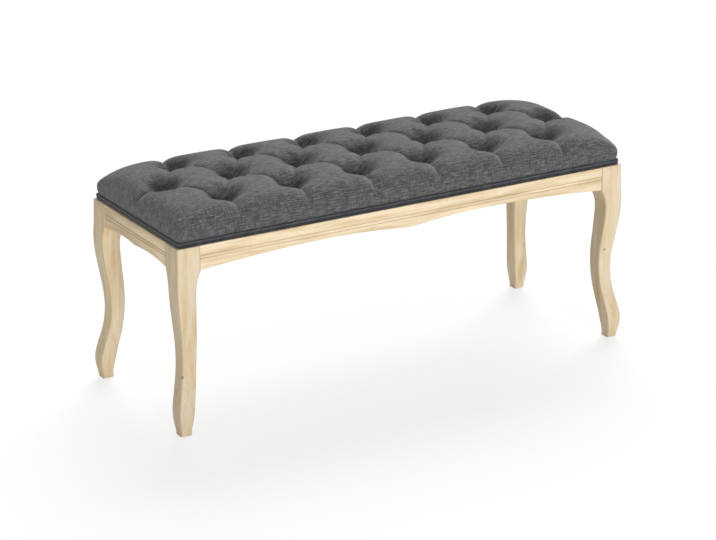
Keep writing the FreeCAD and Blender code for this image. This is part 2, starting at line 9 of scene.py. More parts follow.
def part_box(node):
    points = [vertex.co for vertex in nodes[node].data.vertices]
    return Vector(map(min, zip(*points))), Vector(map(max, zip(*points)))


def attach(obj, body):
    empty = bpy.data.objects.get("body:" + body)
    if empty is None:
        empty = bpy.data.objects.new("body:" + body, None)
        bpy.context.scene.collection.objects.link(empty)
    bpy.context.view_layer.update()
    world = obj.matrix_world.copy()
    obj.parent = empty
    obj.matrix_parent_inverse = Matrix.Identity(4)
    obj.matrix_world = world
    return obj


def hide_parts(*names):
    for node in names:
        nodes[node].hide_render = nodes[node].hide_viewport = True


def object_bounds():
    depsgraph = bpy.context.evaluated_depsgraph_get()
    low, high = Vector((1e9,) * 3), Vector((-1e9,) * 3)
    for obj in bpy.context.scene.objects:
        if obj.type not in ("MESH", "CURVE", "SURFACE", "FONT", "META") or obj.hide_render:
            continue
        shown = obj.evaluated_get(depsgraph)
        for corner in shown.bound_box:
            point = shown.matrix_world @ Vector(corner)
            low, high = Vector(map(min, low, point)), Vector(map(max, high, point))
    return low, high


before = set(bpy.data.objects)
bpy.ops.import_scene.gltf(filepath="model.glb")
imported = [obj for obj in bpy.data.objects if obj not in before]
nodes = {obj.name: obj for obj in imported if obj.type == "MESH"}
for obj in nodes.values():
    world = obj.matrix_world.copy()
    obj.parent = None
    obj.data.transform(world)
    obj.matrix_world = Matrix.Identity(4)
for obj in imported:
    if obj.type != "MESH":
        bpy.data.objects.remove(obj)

cad_low, cad_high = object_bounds()

# Places and sizes that the frame gives, in metres like all lengths here

wood_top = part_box("front_apron")[1].z
cover_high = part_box("seat_cover")[1]
cover_half_length = cover_high.x
cover_half_depth = cover_high.y
welt_low, welt_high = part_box("welt_cord")
band_low, band_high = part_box("lower_band")
button_low, button_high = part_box("tuft_buttons")
dust_low, dust_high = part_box("dust_cover")

# The cushion's form: height above the wood, inset from the widest outline, corner radius

cushion_rows = (
    (0.0124, 0.0020, 0.009),
    (0.0240, 0.0000, 0.009),
    (0.0360, 0.0008, 0.013),
    (0.0440, 0.0030, 0.026),
    (0.0520, 0.0063, 0.048),
    (0.0600, 0.0110, 0.066),
    (0.0670, 0.0180, 0.078),
    (0.0730, 0.0310, 0.088),
    (0.0775, 0.0560, 0.090),
    (0.0800, 0.0950, 0.070),
)
mesh_step = 0.0044
long_corner_room = 0.03
short_corner_room = 0.02
deflated = 0.002
side_share_height = 0.036

# Tufts: a round pit at each button, a fold between neighbours in different rows, a fold from the outer
# ones to the edge

pit_radius = 0.055
pit_floor_radius = 0.004
pit_sharpness = 1.25
fold_half_width = 0.032
fold_roundness = 0.35
fold_middle_depth = 0.0085
fold_end_depth = 0.016
edge_fold_depth = 0.012
edge_fold_turn = 0.45
edge_fold_reach = 0.024
edge_fold_fade = 1.5
blend_power = 2.5
pin_radius = 0.009
place_digits = 4
button_bed = 0.0003

# Cloth simulation of the cover

sim_frames = 12
sim_pressure = 3.0
sim_growth = 0.018
sim_stiffness = 8.0
sim_shear_stiffness = sim_stiffness / 3
sim_bending = 0.5
sim_damping = 5
sim_bending_damping = 0.5
sim_quality = 5
sim_mass = 0.3
most_movement = 0.016
least_length = 1e-9

# Piping and band

welt_radius = (welt_high.z - welt_low.z) / 2
welt_corner = 0.0065
welt_step = 0.004
welt_sides = 14
cloth_thickness = 0.0015
band_corner = 0.009
band_step = 0.006
band_turn = 0.001
band_turn_middle = 0.0003
band_belly = 0.0002
band_shoulder = 0.0005
band_lip = 0.0006
lining_fall = 0.0003
lining_lean = 0.0003
lining_foot = 0.0024
flange_width = 0.022
flange_height = 0.0022
flange_nose = 0.0008
flange_nose_height = 0.001
cloth_wander = 0.00022
wander_scale = 38.0

# Buttons

button_rings = 6
button_spokes = 36
button_pleats = 12
pleat_depth = 0.00035
pleat_growth = 3

# Dust cover

dust_grid = (90, 32)
dust_sag = 0.0012
dust_sag_fullness = 1.5
dust_wander_middle = 0.8
dust_wander_reach = 0.4
dust_wander_scale = 14
dust_thickness = 0.0004

# Wood: its edges, and the places of the incised lines and of two knots

arris_bevel = 0.0004
merge_distance = 0.00001
bevel_angle = math.radians(32)
# Painted shade darkens the aprons' outer faces along the incised lines, at these depths below the top and
# this half width
line_depths = (0.0205, 0.0275)
line_half_width = 0.0014
face_depth = 0.0025
long_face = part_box("back_apron")[1].y - face_depth
short_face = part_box("right_apron")[1].x - face_depth
left_knot_height = 0.140
right_knot_height = 0.200
right_knot_inset = 0.012
knot_search = 0.012

# Linen: scales of its slubs and threads, the runs of noise that each tone takes, relief and sheen

weft_slub_scale = (48, 380, 1)
warp_slub_scale = (400, 55, 1)
fleck_scale = (430, 430, 1)
warp_slub_offset = (3, 7, 0)
fleck_offset = (5, 1, 0)
slub_detail = 3.0
fleck_detail = 2.0
weft_slub_share = 0.5
warp_slub_share = 0.3
fleck_share = 0.2
dark_run = (0.40, 0.5)
light_run = (0.5, 0.62)
# Painted shade on the piping: how far from its crown it sets in and ends, and how dark it gets
painted_crevice_shade_run = (0.0012, 0.0034)
painted_crevice_shade_share = 0.3
thread_scale = 200.0
thread_distortion = 1.5
thread_share = 0.5
linen_bump = (0.5, 0.0006)
linen_roughness = 0.95
linen_sheen = 0.2
linen_sheen_roughness = 0.6
linen_gloss = 0.15

# Wood grain: scales across the grain and along it, the runs of noise and the strength of each layer

bend_scale = 9.0
bend_reach = (0.012, 0.012, 0.012)
broad_scale = (75, 5)
line_scale = (420, 14)
pore_scale = (1300, 90)
wash_scale = (45, 14)
bend_detail = 1.0
streak_detail = 3.0
pore_detail = 1.0
wash_detail = 2.0
broad_run = (0.42, 0.68)
line_run = (0.5, 0.72)
line_share = 0.55
pore_run = (0.6, 0.75)
pore_share = 0.5
wash_run = (0.5, 0.75)
wash_share = 0.35
wash_lift = 1.12
# Arrises of the legs: darker towards the pore tone where the face turns
arris_run = (0.2, 0.42)
arris_share = 0.55
knot_run = (0.0042, 0.0016)
knot_share = 0.8
knot_tone = 0.55
# How dark the painted shade in the aprons' incised lines is
painted_groove_shade_share = 0.5
grain_share = 0.6
wood_bump = (0.35, 0.0005)
wood_roughness = 0.62
wood_gloss = 0.3

# Speckled finishes

speckle_run = (0.35, 0.65)
speckle_detail = 3.0
speckle_bump = (0.3, 0.0002)

# Colours, linear: linens as dark, middle and light, woods as pale, streak and pore

grey_tones = ((0.038, 0.038, 0.039), (0.070, 0.070, 0.071), (0.158, 0.158, 0.159))
dark_tones = ((0.010, 0.011, 0.014), (0.019, 0.021, 0.025), (0.045, 0.048, 0.053))
piping_tones = ((0.024, 0.027, 0.033), (0.048, 0.053, 0.062), (0.10, 0.107, 0.118))
leg_tones = ((0.64, 0.54, 0.39), (0.56, 0.42, 0.23), (0.36, 0.27, 0.16))
apron_tones = ((0.75, 0.625, 0.44), (0.56, 0.42, 0.23), (0.36, 0.27, 0.16))
plain_tones = ((0.60, 0.46, 0.29), (0.48, 0.34, 0.18), (0.30, 0.21, 0.12))
plywood_tones = ((0.56, 0.43, 0.28), (0.46, 0.33, 0.19), (0.28, 0.20, 0.12))
dust_tone = (0.03, 0.03, 0.03)
zinc_tone = (0.58, 0.59, 0.60)
glide_tone = (0.50, 0.49, 0.47)
twine_tone = (0.62, 0.56, 0.44)

# Camera and light, fitted to the photograph; a light has its azimuth, elevation, strength and width

camera_azimuth = math.radians(-31.1)
camera_elevation = math.radians(20.04)
camera_distance = 5.458
camera_target = Vector((-0.0119, 0.0, 0.2041))
camera_lens = 125.46
camera_sensor = 36.0
front_light = (math.radians(-10), math.radians(3), 2.75, math.radians(18))
top_light = (math.radians(142), math.radians(43), 2.7, math.radians(36))
sky_strength = 0.42
backdrop_white = 0.97
floor_half_side = 14.0
floor_gap = 0.0002
floor_tone = 0.8
floor_glow = 0.75


# Outlines

def rounded_side(half_long, half_short, corner, steps):
    """The near side of a rounded rectangle, between the middles of two corners, and its normals."""
    straight = half_long - corner
    half_run = straight + corner * math.pi / 4
    run = np.linspace(-half_run, half_run, steps + 1)
    turned = np.clip(np.abs(run) - straight, 0, None) / corner
    way = np.sign(run)
    x = np.where(turned > 0, way * (straight + corner * np.sin(turned)), run)
    y = corner * (1 - np.cos(turned)) - half_short
    return np.stack([x, y], 1), np.stack([way * np.sin(turned), -np.cos(turned)], 1)


def rounded_ring(half_long, half_short, corner, long_steps, short_steps):
    """A closed rounded rectangle seen from above, anticlockwise from the left end of the near side."""
    long_side, long_normals = rounded_side(half_long, half_short, corner, long_steps)
    end_side, end_normals = rounded_side(half_short, half_long, corner, short_steps)

    def turned(points):
        return np.stack([-points[:, 1], points[:, 0]], 1)

    def all_round(long_run, end_run):
        near, right = long_run[:-1], turned(end_run)[:-1]
        return np.vstack([near, right, -near, -right])

    return all_round(long_side, end_side), all_round(long_normals, end_normals)


def smooth_profile(rows, step):
    """A smooth line through the cushion's rows."""
    rows = np.array(rows)
    ends = np.vstack([2 * rows[0] - rows[1], rows, 2 * rows[-1] - rows[-2]])
    line = []
    for index in range(1, len(ends) - 2):
        before, start, end, after = ends[index - 1:index + 3]
        count = max(1, round(np.hypot(*(end - start)[:2]) / step))
        for t in np.linspace(0, 1, count, endpoint=False):
            bend = 2 * before - 5 * start + 4 * end - after
            turn = 3 * start - 3 * end + after - before
            line.append(0.5 * (2 * start + (end - before) * t + bend * t ** 2 + turn * t ** 3))
    line.append(rows[-1])
    return np.array(line)


# Meshes

def make_mesh(name, points, faces, flat=None):
    """A smooth piece; flat holds the cloth's own coordinates of each point."""
    corners = [tuple(map(float, point)) for point in points]
    mesh = bpy.data.meshes.new(name)
    mesh.from_pydata(corners, [], [tuple(map(int, face)) for face in faces])
    mesh.update()
    if flat is not None:
        values = np.zeros((len(mesh.vertices), 3))
        values[:, :flat.shape[1]] = flat
        layer = mesh.attributes.new("cloth_flat", "FLOAT_VECTOR", "POINT")
        layer.data.foreach_set("vector", values.ravel())
    mesh.shade_smooth()
    piece = bpy.data.objects.new(name, mesh)
    bpy.context.scene.collection.objects.link(piece)
    return piece


def bridge(lower, upper):
    """Faces between two closed rings of the same number of points."""
    count = len(lower)
    following = [(i + 1) % count for i in range(count)]
    return [(lower[i], lower[j], upper[j], upper[i]) for i, j in enumerate(following)]


def cushion_blank():
    """The untufted cover: points, flat coordinates, normals, faces and the numbers of its lowest ring."""
    profile = smooth_profile(cushion_rows, mesh_step)
    long_steps = 2 * round((cover_half_length - long_corner_room) / mesh_step)
    short_steps = 2 * round((cover_half_depth - short_corner_room) / mesh_step)

    def ring(row):
        inset, corner = row[1], row[2]
        sides = (cover_half_length - inset, cover_half_depth - inset)
        return rounded_ring(*sides, corner, long_steps, short_steps)

    last = long_steps + short_steps
    rim, _ = ring(profile[-1])
    near = rim[:long_steps + 1]
    right = rim[long_steps:last + 1]
    far = rim[last:last + long_steps + 1][::-1]
    left = np.vstack([rim[last + long_steps:], rim[:1]])[::-1]
    u = np.linspace(0, 1, long_steps + 1)[None, :, None]
    v = np.linspace(0, 1, short_steps + 1)[:, None, None]
    patch = (1 - v) * near[None] + v * far[None] + (1 - u) * left[:, None] + u * right[:, None]
    patch = patch - (1 - u) * (1 - v) * near[0] - u * (1 - v) * near[-1]
    patch = (patch - (1 - u) * v * far[0] - u * v * far[-1]).reshape(-1, 2)
    number = np.arange(len(patch)).reshape(short_steps + 1, long_steps + 1)
    points = [np.hstack([patch, np.full((len(patch), 1), wood_top + profile[-1][0])])]
    flat = [patch]
    normals = [np.tile([0.0, 0.0, 1.0], (len(patch), 1))]
    corners = (number[:-1, :-1], number[:-1, 1:], number[1:, 1:], number[1:, :-1])
    faces = list(zip(*(corner.ravel() for corner in corners)))
    above = [*number[0, :-1], *number[:-1, -1], *number[-1, ::-1][:-1], *number[::-1, 0][:-1]]
    count = len(patch)
    cloth_run = 0.0
    for index in range(len(profile) - 2, -1, -1):
        rise, draw_in = profile[index + 1][:2] - profile[index][:2]
        cloth_run += math.hypot(rise, draw_in)
        outline, outward = ring(profile[index])
        plan_run = profile[-1][1] - profile[index][1]
        points.append(np.hstack([outline, np.full((len(outline), 1), wood_top + profile[index][0])]))
        flat.append(outline + outward * (cloth_run - plan_run))
        slope = math.hypot(rise, draw_in)
        normals.append(np.hstack([outward * rise / slope, np.full((len(outline), 1), draw_in / slope)]))
        ring_numbers = list(range(count, count + len(outline)))
        faces.extend(bridge(ring_numbers, above))
        above = ring_numbers
        count += len(outline)
    return np.vstack(points), np.vstack(flat), np.vstack(normals), faces, above


# Tufting

def tuft_places():
    """The middle of each button, in plan: the crowns of the buttons' own solids."""
    points = [vertex.co for vertex in nodes["tuft_buttons"].data.vertices]
    crowns = [point for point in points if point.z > button_high.z - merge_distance]
    return sorted({(round(point.x, place_digits), round(point.y, place_digits)) for point in crowns})


def bowl(share):
    """1 at the middle, 0 from the rim on: a wide bowl whose wall is steep half way."""
    return (0.5 + 0.5 * np.cos(math.pi * np.clip(share, 0, 1))) ** pit_sharpness


def crease(away):
    """1 along a fold's middle, 0 from its rim on: a round shoulder that is steep at the bottom."""
    inward = 1 - np.clip(away / fold_half_width, 0, 1)
    round_shoulder = 1 - np.sqrt(1 - inward ** 2)
    return fold_roundness * round_shoulder + (1 - fold_roundness) * inward ** 2


def run_distance(flat, start, end):
    """How far each point is from the run between two places, and how far along it."""
    start, end = np.array(start), np.array(end)
    along = end - start
    share = np.clip(((flat - start) @ along) / (along @ along), 0, 1)
    away = flat - start - share[:, None] * along
    return np.hypot(away[:, 0], away[:, 1]), share


def tuft_rows(places):
    """The middle row, and the two outer ones together."""
    middle = sorted({y for _, y in places})[1]
    return [p for p in places if p[1] == middle], [p for p in places if p[1] != middle]


def fold_runs(places):
    """Pairs of neighbouring tufts in different rows, half a pitch apart along the bench."""
    middle_row, outer_rows = tuft_rows(places)
    pitch = middle_row[1][0] - middle_row[0][0]
    pairs = [(inner, outer) for inner in middle_row for outer in outer_rows]
    return [(a, b) for a, b in pairs if abs(abs(a[0] - b[0]) - pitch / 2) < pitch / 10]


def edge_runs(places):
    """From each tuft of the outer rows and each end tuft of the middle row, straight to the edge."""
    middle_row, outer_rows = tuft_rows(places)
    end = cover_half_length + edge_fold_reach
    side = cover_half_depth + edge_fold_reach
    runs = [(place, (place[0], math.copysign(side, place[1]))) for place in outer_rows]
    for place in (middle_row[0], middle_row[-1]):
        runs.append((place, (math.copysign(end, place[0]), 0.0)))
    return runs


def tuft_drop(flat, places):
    """How far the cover is drawn in at each point."""
    crest = cushion_rows[-1][0]
    pit_depth = wood_top + crest - deflated - (button_low.z - button_bed)
    total = np.zeros(len(flat))
    for place in places:
        away = np.hypot(flat[:, 0] - place[0], flat[:, 1] - place[1])
        share = np.clip(away - pit_floor_radius, 0, None) / pit_radius
        total += (pit_depth * bowl(share)) ** blend_power
    for start, end in fold_runs(places):
        away, share = run_distance(flat, start, end)
        depth = fold_middle_depth + (fold_end_depth - fold_middle_depth) * (2 * share - 1) ** 2
        total += (depth * crease(away)) ** blend_power
    for start, end in edge_runs(places):
        away, share = run_distance(flat, start, end)
        turned = np.clip(share / edge_fold_turn, 0, 1)
        fade = np.clip((share - edge_fold_turn) / (1 - edge_fold_turn), 0, 1)
        depth = fold_end_depth + (edge_fold_depth - fold_end_depth) * turned
        depth = depth * (1 - fade) ** edge_fold_fade
        total += (depth * crease(away)) ** blend_power
    return total ** (1 / blend_power)


def simulate_cover(cover, held):
    """The cloth swells under pressure while its lower edge and the tufts hold it."""
    group = cover.vertex_groups.new(name="held")
    group.add([int(i) for i in held], 1.0, "REPLACE")
    before = np.zeros(len(cover.data.vertices) * 3)
    cover.data.vertices.foreach_get("co", before)
    modifier = cover.modifiers.new("cloth", "CLOTH")
    cloth = modifier.settings
    cloth.quality = sim_quality
    cloth.mass = sim_mass
    cloth.tension_stiffness = sim_stiffness
    cloth.compression_stiffness = sim_stiffness
    cloth.shear_stiffness = sim_shear_stiffness
    cloth.bending_stiffness = sim_bending
    cloth.tension_damping = sim_damping
    cloth.compression_damping = sim_damping
    cloth.shear_damping = sim_damping
    cloth.bending_damping = sim_bending_damping
    cloth.air_damping = sim_damping
    cloth.use_pressure = True
    cloth.uniform_pressure_force = sim_pressure
    cloth.shrink_min = -sim_growth
    cloth.shrink_max = -sim_growth
    cloth.effector_weights.gravity = 0
    cloth.vertex_group_mass = "held"
    cloth.pin_stiffness = 1
    modifier.collision_settings.use_collision = False
    modifier.collision_settings.use_self_collision = False
    modifier.point_cache.frame_start = 1
    modifier.point_cache.frame_end = sim_frames
    scene = bpy.context.scene
    scene.frame_start = 1
    scene.frame_end = sim_frames
    for number in range(1, sim_frames + 1):
        scene.frame_set(number)
    evaluated = cover.evaluated_get(bpy.context.evaluated_depsgraph_get())
    after = np.zeros(len(before))
    evaluated.to_mesh().vertices.foreach_get("co", after)
    evaluated.to_mesh_clear()
    cover.modifiers.clear()
    cover.vertex_groups.clear()
    moved = (after - before).reshape(-1, 3)
    length = np.linalg.norm(moved, axis=1, keepdims=True)
    moved *= np.minimum(1, most_movement / np.maximum(length, least_length))
    cover.data.vertices.foreach_set("co", before + moved.ravel())
    cover.data.update()
    scene.frame_set(1)


def tufted_cover():
    """The cover, drawn in at its tufts and then filled again by the cloth simulation."""
    points, flat, normals, faces, lowest = cushion_blank()
    places = tuft_places()
    upright = cushion_rows[-1][0] - side_share_height
    upper_share = np.clip((points[:, 2] - wood_top - side_share_height) / upright, 0, 1)
    points[:, 2] -= deflated * upper_share
    points = points - normals * tuft_drop(flat, places)[:, None]
    cover = make_mesh("tufted_cover", points, faces, flat)
    held = set(int(i) for i in lowest)
    for place in places:
        away = np.hypot(flat[:, 0] - place[0], flat[:, 1] - place[1])
        held.update(int(i) for i in np.nonzero(away < pin_radius)[0])
    simulate_cover(cover, sorted(held))
    finer = cover.modifiers.new("finer", "SUBSURF")
    finer.levels = 1
    finer.render_levels = 1
    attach(cover, "root")
    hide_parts("seat_cover", "foam_pad", "fibre_wadding")
    return cover


# Piping, band, buttons and dust cover

def wander(point):
    """A small swell that differs along the cloth."""
    return cloth_wander * noise.noise(Vector(point) * wander_scale)


def swept_ring(name, half_long, half_short, corner, section, step):
    """A closed section of (outward, up) points carried round a rounded rectangle."""
    long_steps = 2 * round(half_long / step)
    short_steps = 2 * round(half_short / step)
    outline, outward = rounded_ring(half_long, half_short, corner, long_steps, short_steps)
    lengths = np.hypot(*(np.roll(outline, -1, 0) - outline).T)
    along = np.concatenate([[0], np.cumsum(lengths)[:-1]])
    section = np.array(section)
    across = np.concatenate([[0], np.cumsum(np.hypot(*np.diff(section, axis=0).T))])
    points, flat, faces = [], [], []
    for index, (out, up) in enumerate(section):
        for spot, normal, run in zip(outline, outward, along):
            swell = wander((spot[0], spot[1], up))
            points.append((*(spot + normal * (out + swell)), up + swell))
            flat.append((run, across[index]))
    count = len(outline)
    for index in range(len(section)):
        following = (index + 1) % len(section)
        lower = range(index * count, (index + 1) * count)
        upper = range(following * count, (following + 1) * count)
        faces.extend(bridge(list(lower), list(upper)))
    return make_mesh(name, points, faces, np.array(flat))


def piping():
    """A round piping that seats between the cushion and the band."""
    middle = (welt_low.z + welt_high.z) / 2
    turns = np.linspace(0, 2 * math.pi, welt_sides, endpoint=False)
    section = [(welt_radius * math.sin(t), middle - welt_radius * math.cos(t)) for t in turns]
    half_long = welt_high.x - welt_radius
    half_short = welt_high.y - welt_radius
    piece = swept_ring("seat_piping", half_long, half_short, welt_corner, section, welt_step)
    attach(piece, "root")
    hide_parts("welt_cord")
    return piece


def edge_band():
    """The band round the board's edge, rounded below and turned under the board."""
    low, high = band_low.z, band_high.z
    section = [
        (-band_turn, low),
        (-band_turn_middle, low + band_turn_middle),
        (0, low + band_turn),
        (band_belly, (low + high) / 2),
        (0, high - band_shoulder),
        (-band_lip, high),
        (-cloth_thickness, high - lining_fall),
        (-cloth_thickness - lining_lean, low + lining_foot),
        (-flange_width, low + flange_height),
        (-flange_width - flange_nose, low + flange_nose_height),
        (-flange_width, low),
    ]
    piece = swept_ring("seat_edge_band", band_high.x, band_high.y, band_corner, section, band_step)
    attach(piece, "root")
    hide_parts("lower_band")
    return piece


def covered_buttons():
    """Domed buttons whose cloth is gathered in small pleats at the rim."""
    radius = (button_high.x - button_low.x) / 2 - max(x for x, _ in tuft_places())
    height = button_high.z - button_low.z
    points, flat, faces = [], [], []
    for place in tuft_places():
        first = len(points)
        points.append((*place, button_high.z))
        flat.append(place)
        rings = []
        for ring in range(1, button_rings + 1):
            share = ring / button_rings
            rings.append(list(range(len(points), len(points) + button_spokes)))
            for spoke in range(button_spokes):
                turn = 2 * math.pi * spoke / button_spokes
                east, north = math.cos(turn), math.sin(turn)
                pleat = pleat_depth * share ** pleat_growth * (0.5 + 0.5 * math.cos(button_pleats * turn))
                reach = radius * math.sin(share * math.pi / 2) - pleat
                level = button_low.z + height * math.cos(share * math.pi / 2)
                points.append((place[0] + reach * east, place[1] + reach * north, level))
                flat.append((place[0] + radius * share * east, place[1] + radius * share * north))
        for spoke in range(button_spokes):
            faces.append((first, rings[0][spoke], rings[0][(spoke + 1) % button_spokes]))
        for inner, outer in zip(rings, rings[1:]):
            faces.extend(bridge(outer, inner))
        faces.append(tuple(reversed(rings[-1])))
    piece = make_mesh("covered_buttons", points, faces, np.array(flat))
    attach(piece, "root")
    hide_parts("tuft_buttons")
    return piece


def dust_sheet():
    """Non-woven cloth stretched under the board, slack by a hair between its staples."""
    size = dust_high - dust_low
    top = (dust_low.z + dust_high.z) / 2 + dust_thickness / 2
    columns, rows = dust_grid
    points, faces = [], []
    for row in range(rows + 1):
        for column in range(columns + 1):
            u, v = column / columns, row / rows
            x, y = dust_low.x + size.x * u, dust_low.y + size.y * v
            slack = math.sin(math.pi * v) ** 2 * abs(math.sin(2 * math.pi * u)) ** dust_sag_fullness
            spot = Vector((x * dust_wander_scale, y * dust_wander_scale, 0))
            slack *= dust_wander_middle + dust_wander_reach * noise.noise(spot)
            points.append((x, y, top - dust_sag * slack))
    for row in range(rows):
        for column in range(columns):
            corner = row * (columns + 1) + column
            faces.append((corner, corner + 1, corner + columns + 2, corner + columns + 1))
    piece = make_mesh("stretched_dust_cover", points, faces, np.array(points)[:, :2])
    thick = piece.modifiers.new("thickness", "SOLIDIFY")
    thick.thickness = dust_thickness
    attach(piece, "root")
    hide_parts("dust_cover")
    return piece


# Materials

def add_node(tree, kind, values, **settings):
    """A shader node whose inputs take other nodes' sockets or constants."""
    node = tree.nodes.new("ShaderNode" + kind)
    for name, value in settings.items():
        setattr(node, name, value)
    for socket, value in values.items():
        if isinstance(value, bpy.types.NodeSocket):
            tree.links.new(value, node.inputs[socket])
        else:
            node.inputs[socket].default_value = value
    return node


def new_material(name, colour, roughness, metallic=0.0):
    material = bpy.data.materials.new(name)
    material.use_nodes = True
    shader = material.node_tree.nodes["Principled BSDF"]
    shader.inputs["Base Color"].default_value = (*colour, 1)
    shader.inputs["Roughness"].default_value = roughness
    shader.inputs["Metallic"].default_value = metallic
    return material, material.node_tree, shader


def stretched_noise(tree, place, scale, detail, offset=(0, 0, 0)):
    mapping = add_node(tree, "Mapping", {"Vector": place, "Location": offset, "Scale": scale})
    spots = add_node(tree, "TexNoise", {"Vector": mapping.outputs[0], "Scale": 1.0, "Detail": detail})
    return spots.outputs["Fac"]


def spread(tree, value, low, high):
    """The value's run from low to high, spread over 0 to 1."""
    return add_node(tree, "MapRange", {"Value": value, "From Min": low, "From Max": high}).outputs["Result"]


def mixed(tree, factor, first, second):
    node = add_node(tree, "Mix", {}, data_type="RGBA")
    for socket, value in ((node.inputs[0], factor), (node.inputs[6], first), (node.inputs[7], second)):
        if isinstance(value, bpy.types.NodeSocket):
            tree.links.new(value, socket)
        elif isinstance(value, tuple):
            socket.default_value = (*value, 1)
        else:
            socket.default_value = value
    return node.outputs[2]


def math_node(tree, operation, first, second=0.0):
    return add_node(tree, "Math", {0: first, 1: second}, operation=operation).outputs[0]


def product(tree, first, second):
    return math_node(tree, "MULTIPLY", first, second)


def gap_between(tree, first, second):
    return math_node(tree, "ABSOLUTE", math_node(tree, "SUBTRACT", first, second))


def add_bump(tree, shader, height, strength, distance):
    bump = add_node(tree, "Bump", {"Height": height, "Strength": strength, "Distance": distance})
    tree.links.new(bump.outputs["Normal"], shader.inputs["Normal"])


def linen(name, tones, crown=None):
    """Heathered linen: slubs along both threads over a fine plain weave, by the cloth's flat coordinates. On
    the piping, painted shade darkens the cloth away from its crown, towards the crevices where it meets the
    cushion and the band.
    """
    dark, middle, light = tones
    material, tree, shader = new_material(name, middle, linen_roughness)
    place = add_node(tree, "Attribute", {}, attribute_name="cloth_flat").outputs["Vector"]
    across = stretched_noise(tree, place, weft_slub_scale, slub_detail)
    down = stretched_noise(tree, place, warp_slub_scale, slub_detail, warp_slub_offset)
    fleck = stretched_noise(tree, place, fleck_scale, fleck_detail, fleck_offset)
    slubs = product(tree, across, weft_slub_share)
    slubs = math_node(tree, "ADD", slubs, product(tree, down, warp_slub_share))
    slubs = math_node(tree, "ADD", slubs, product(tree, fleck, fleck_share))
    lower = mixed(tree, spread(tree, slubs, *dark_run), dark, middle)
    colour = mixed(tree, spread(tree, slubs, *light_run), lower, light)
    # Painted shade: the piping darkens away from its crown, into the crevices by the cushion and the band
    if crown is not None:
        across_piping = add_node(tree, "SeparateXYZ", {0: place}).outputs[1]
        painted_crevice_shade = spread(tree, gap_between(tree, across_piping, crown), *painted_crevice_shade_run)
        colour = mixed(tree, painted_crevice_shade, colour, tuple(painted_crevice_shade_share * tone for tone in dark))
    tree.links.new(colour, shader.inputs["Base Color"])
    wave = {"Vector": place, "Scale": thread_scale, "Distortion": thread_distortion}
    weft = add_node(tree, "TexWave", wave, bands_direction="X")
    warp = add_node(tree, "TexWave", wave, bands_direction="Y")
    weave = product(tree, weft.outputs["Fac"], warp.outputs["Fac"])
    height = math_node(tree, "ADD", product(tree, weave, thread_share), slubs)
    add_bump(tree, shader, height, *linen_bump)
    shader.inputs["Sheen Weight"].default_value = linen_sheen
    shader.inputs["Sheen Roughness"].default_value = linen_sheen_roughness
    shader.inputs["Specular IOR Level"].default_value = linen_gloss
    return material


def knot_places():
    """Small knots on the arris of the near left leg and on the near face of the near right one."""
    def at_height(leg, height):
        points = [vertex.co for vertex in nodes[leg].data.vertices]
        near = [point for point in points if abs(point.z - height) < knot_search]
        return min(near, key=lambda point: point.x + point.y).copy()

    left = at_height("front_left_leg", left_knot_height)
    right = at_height("front_right_leg", right_knot_height)
    return [left, right + Vector((right_knot_inset, 0, 0))]


def add_knots(tree, place, colour, pore):
    for knot in knot_places():
        away = add_node(tree, "VectorMath", {0: place, 1: tuple(knot)}, operation="DISTANCE").outputs["Value"]
        core = product(tree, spread(tree, away, *knot_run), knot_share)
        colour = mixed(tree, core, colour, tuple(knot_tone * tone for tone in pore))
    return colour


def darkened_arrises(tree):
    """More than 0 where the face turns from one side of a leg to the next."""
    normal = add_node(tree, "SeparateXYZ", {0: add_node(tree, "NewGeometry", {}).outputs["Normal"]})
    skew = math_node(tree, "ABSOLUTE", product(tree, normal.outputs[0], normal.outputs[1]))
    return product(tree, spread(tree, skew, *arris_run), arris_share)


def painted_groove_shade(tree, place, along):
    """Painted shade: more than 0 in the incised lines on the aprons' outer faces, where the grooves' own
    shade falls.
    """
    parts = add_node(tree, "SeparateXYZ", {0: place}).outputs
    outward, face = (parts[1], long_face) if along == "X" else (parts[0], short_face)
    outer = math_node(tree, "GREATER_THAN", math_node(tree, "ABSOLUTE", outward), face)
    lines = []
    for depth in line_depths:
        gap = gap_between(tree, parts[2], wood_top - depth)
        lines.append(spread(tree, gap, line_half_width, line_half_width / 3))
    either = math_node(tree, "MAXIMUM", *lines)
    return product(tree, product(tree, either, outer), painted_groove_shade_share)


